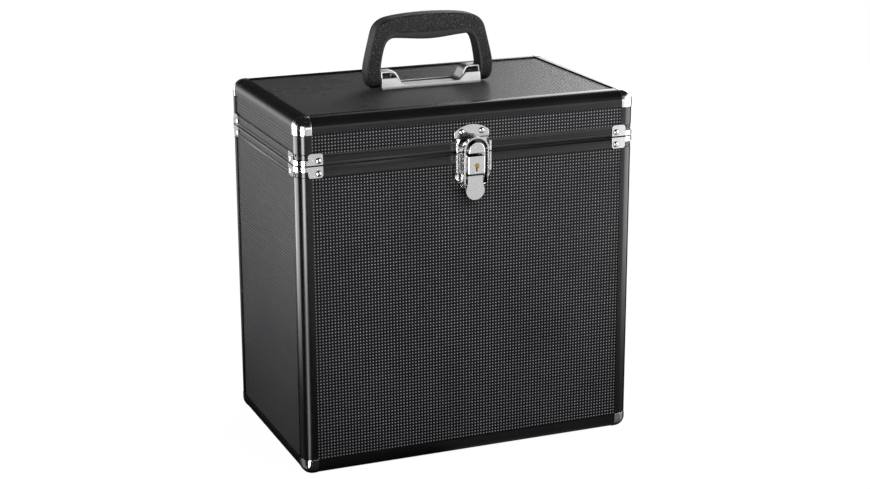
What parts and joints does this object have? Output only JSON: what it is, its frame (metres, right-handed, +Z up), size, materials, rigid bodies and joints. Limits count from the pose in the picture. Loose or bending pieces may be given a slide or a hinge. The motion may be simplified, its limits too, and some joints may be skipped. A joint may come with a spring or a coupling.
{
  "type": "record carrying case",
  "caption": "Upright carrying case for vinyl records with aluminium edge profiles, dotted panels, a hinged lid, a draw latch with a key lock and a folding handle.",
  "frame": {"origin": "under the middle of the whole case with its latch and hinge, on the surface it stands on", "axes": "+X to the right along the front, +Y from the front with the latch towards the back with the hinge, +Z up"},
  "size_m": [0.3576, 0.2412, 0.4323],
  "materials": {
    "anodised": "black anodised extrusion, satin",
    "laminate": "thin board faced with black plastic that has rows of small raised dots",
    "chrome": "bright plated steel",
    "steel": "plain pin",
    "brass": "bright key barrel",
    "grip": "grained black moulding",
    "lining": "black felt"
  },
  "bodies": {
    "case_body": {"body_post_front_left": "anodised", "body_post_front_right": "anodised", "body_post_back_left": "anodised", "body_post_back_right": "anodised", "bottom_rail_front": "anodised", "bottom_rail_back": "anodised", "bottom_rail_left": "anodised", "bottom_rail_right": "anodised", "body_seam_frame": "anodised", "hinge_body_leaf": "anodised", "body_front_panel": "laminate", "body_back_panel": "laminate", "body_left_panel": "laminate", "body_right_panel": "laminate", "bottom_panel": "laminate", "bottom_corner_front_left": "chrome", "bottom_corner_front_right": "chrome", "bottom_corner_back_left": "chrome", "bottom_corner_back_right": "chrome", "body_bracket_front_left": "chrome", "body_bracket_front_right": "chrome", "body_bracket_back_left": "chrome", "body_bracket_back_right": "chrome", "latch_base": "chrome", "lock_case": "chrome", "lever_pin": "steel", "hinge_pin": "steel", "body_lining": "lining"},
    "lid": {"lid_post_front_left": "anodised", "lid_post_front_right": "anodised", "lid_post_back_left": "anodised", "lid_post_back_right": "anodised", "top_rail_front": "anodised", "top_rail_back": "anodised", "top_rail_left": "anodised", "top_rail_right": "anodised", "lid_seam_frame": "anodised", "hinge_lid_leaf": "anodised", "lid_front_panel": "laminate", "lid_back_panel": "laminate", "lid_left_panel": "laminate", "lid_right_panel": "laminate", "lid_top_panel": "laminate", "top_corner_front_left": "chrome", "top_corner_front_right": "chrome", "top_corner_back_left": "chrome", "top_corner_back_right": "chrome", "lid_bracket_front_left": "chrome", "lid_bracket_front_right": "chrome", "lid_bracket_back_left": "chrome", "lid_bracket_back_right": "chrome", "latch_catch": "chrome", "lid_lining": "lining", "handle_tray": "chrome", "handle_bridge": "chrome"},
    "handle": {"handle_bail": "grip"},
    "latch_lever": {"latch_lever": "chrome"},
    "latch_loop": {"latch_loop": "chrome"},
    "lock_barrel": {"lock_barrel": "brass"}
  },
  "joints": [
    {"name": "lid_swing", "type": "hinge", "parent": "case_body", "child": "lid", "pos_m": [0, 0.1172, 0.3134], "axis": [-1, 0, 0], "range_deg": [0, 100]},
    {"name": "handle_fold", "type": "hinge", "parent": "lid", "child": "handle", "pos_m": [0, 0.0074, 0.3692], "axis": [1, 0, 0], "range_deg": [-90, 90]},
    {"name": "lever_lift", "type": "hinge", "parent": "case_body", "child": "latch_lever", "pos_m": [0, -0.1136, 0.289], "axis": [-1, 0, 0], "range_deg": [0, 90]},
    {"name": "loop_swing", "type": "hinge", "parent": "latch_lever", "child": "latch_loop", "pos_m": [0, -0.1128, 0.282], "axis": [1, 0, 0], "range_deg": [0, 117]},
    {"name": "key_turn", "type": "hinge", "parent": "case_body", "child": "lock_barrel", "pos_m": [0, -0.1193, 0.3011], "axis": [0, -1, 0], "range_deg": [0, 90]}
  ],
  "couplings": [
    {"joint": "loop_swing", "follows": "lever_lift", "ratio": 1.3}
  ]
}
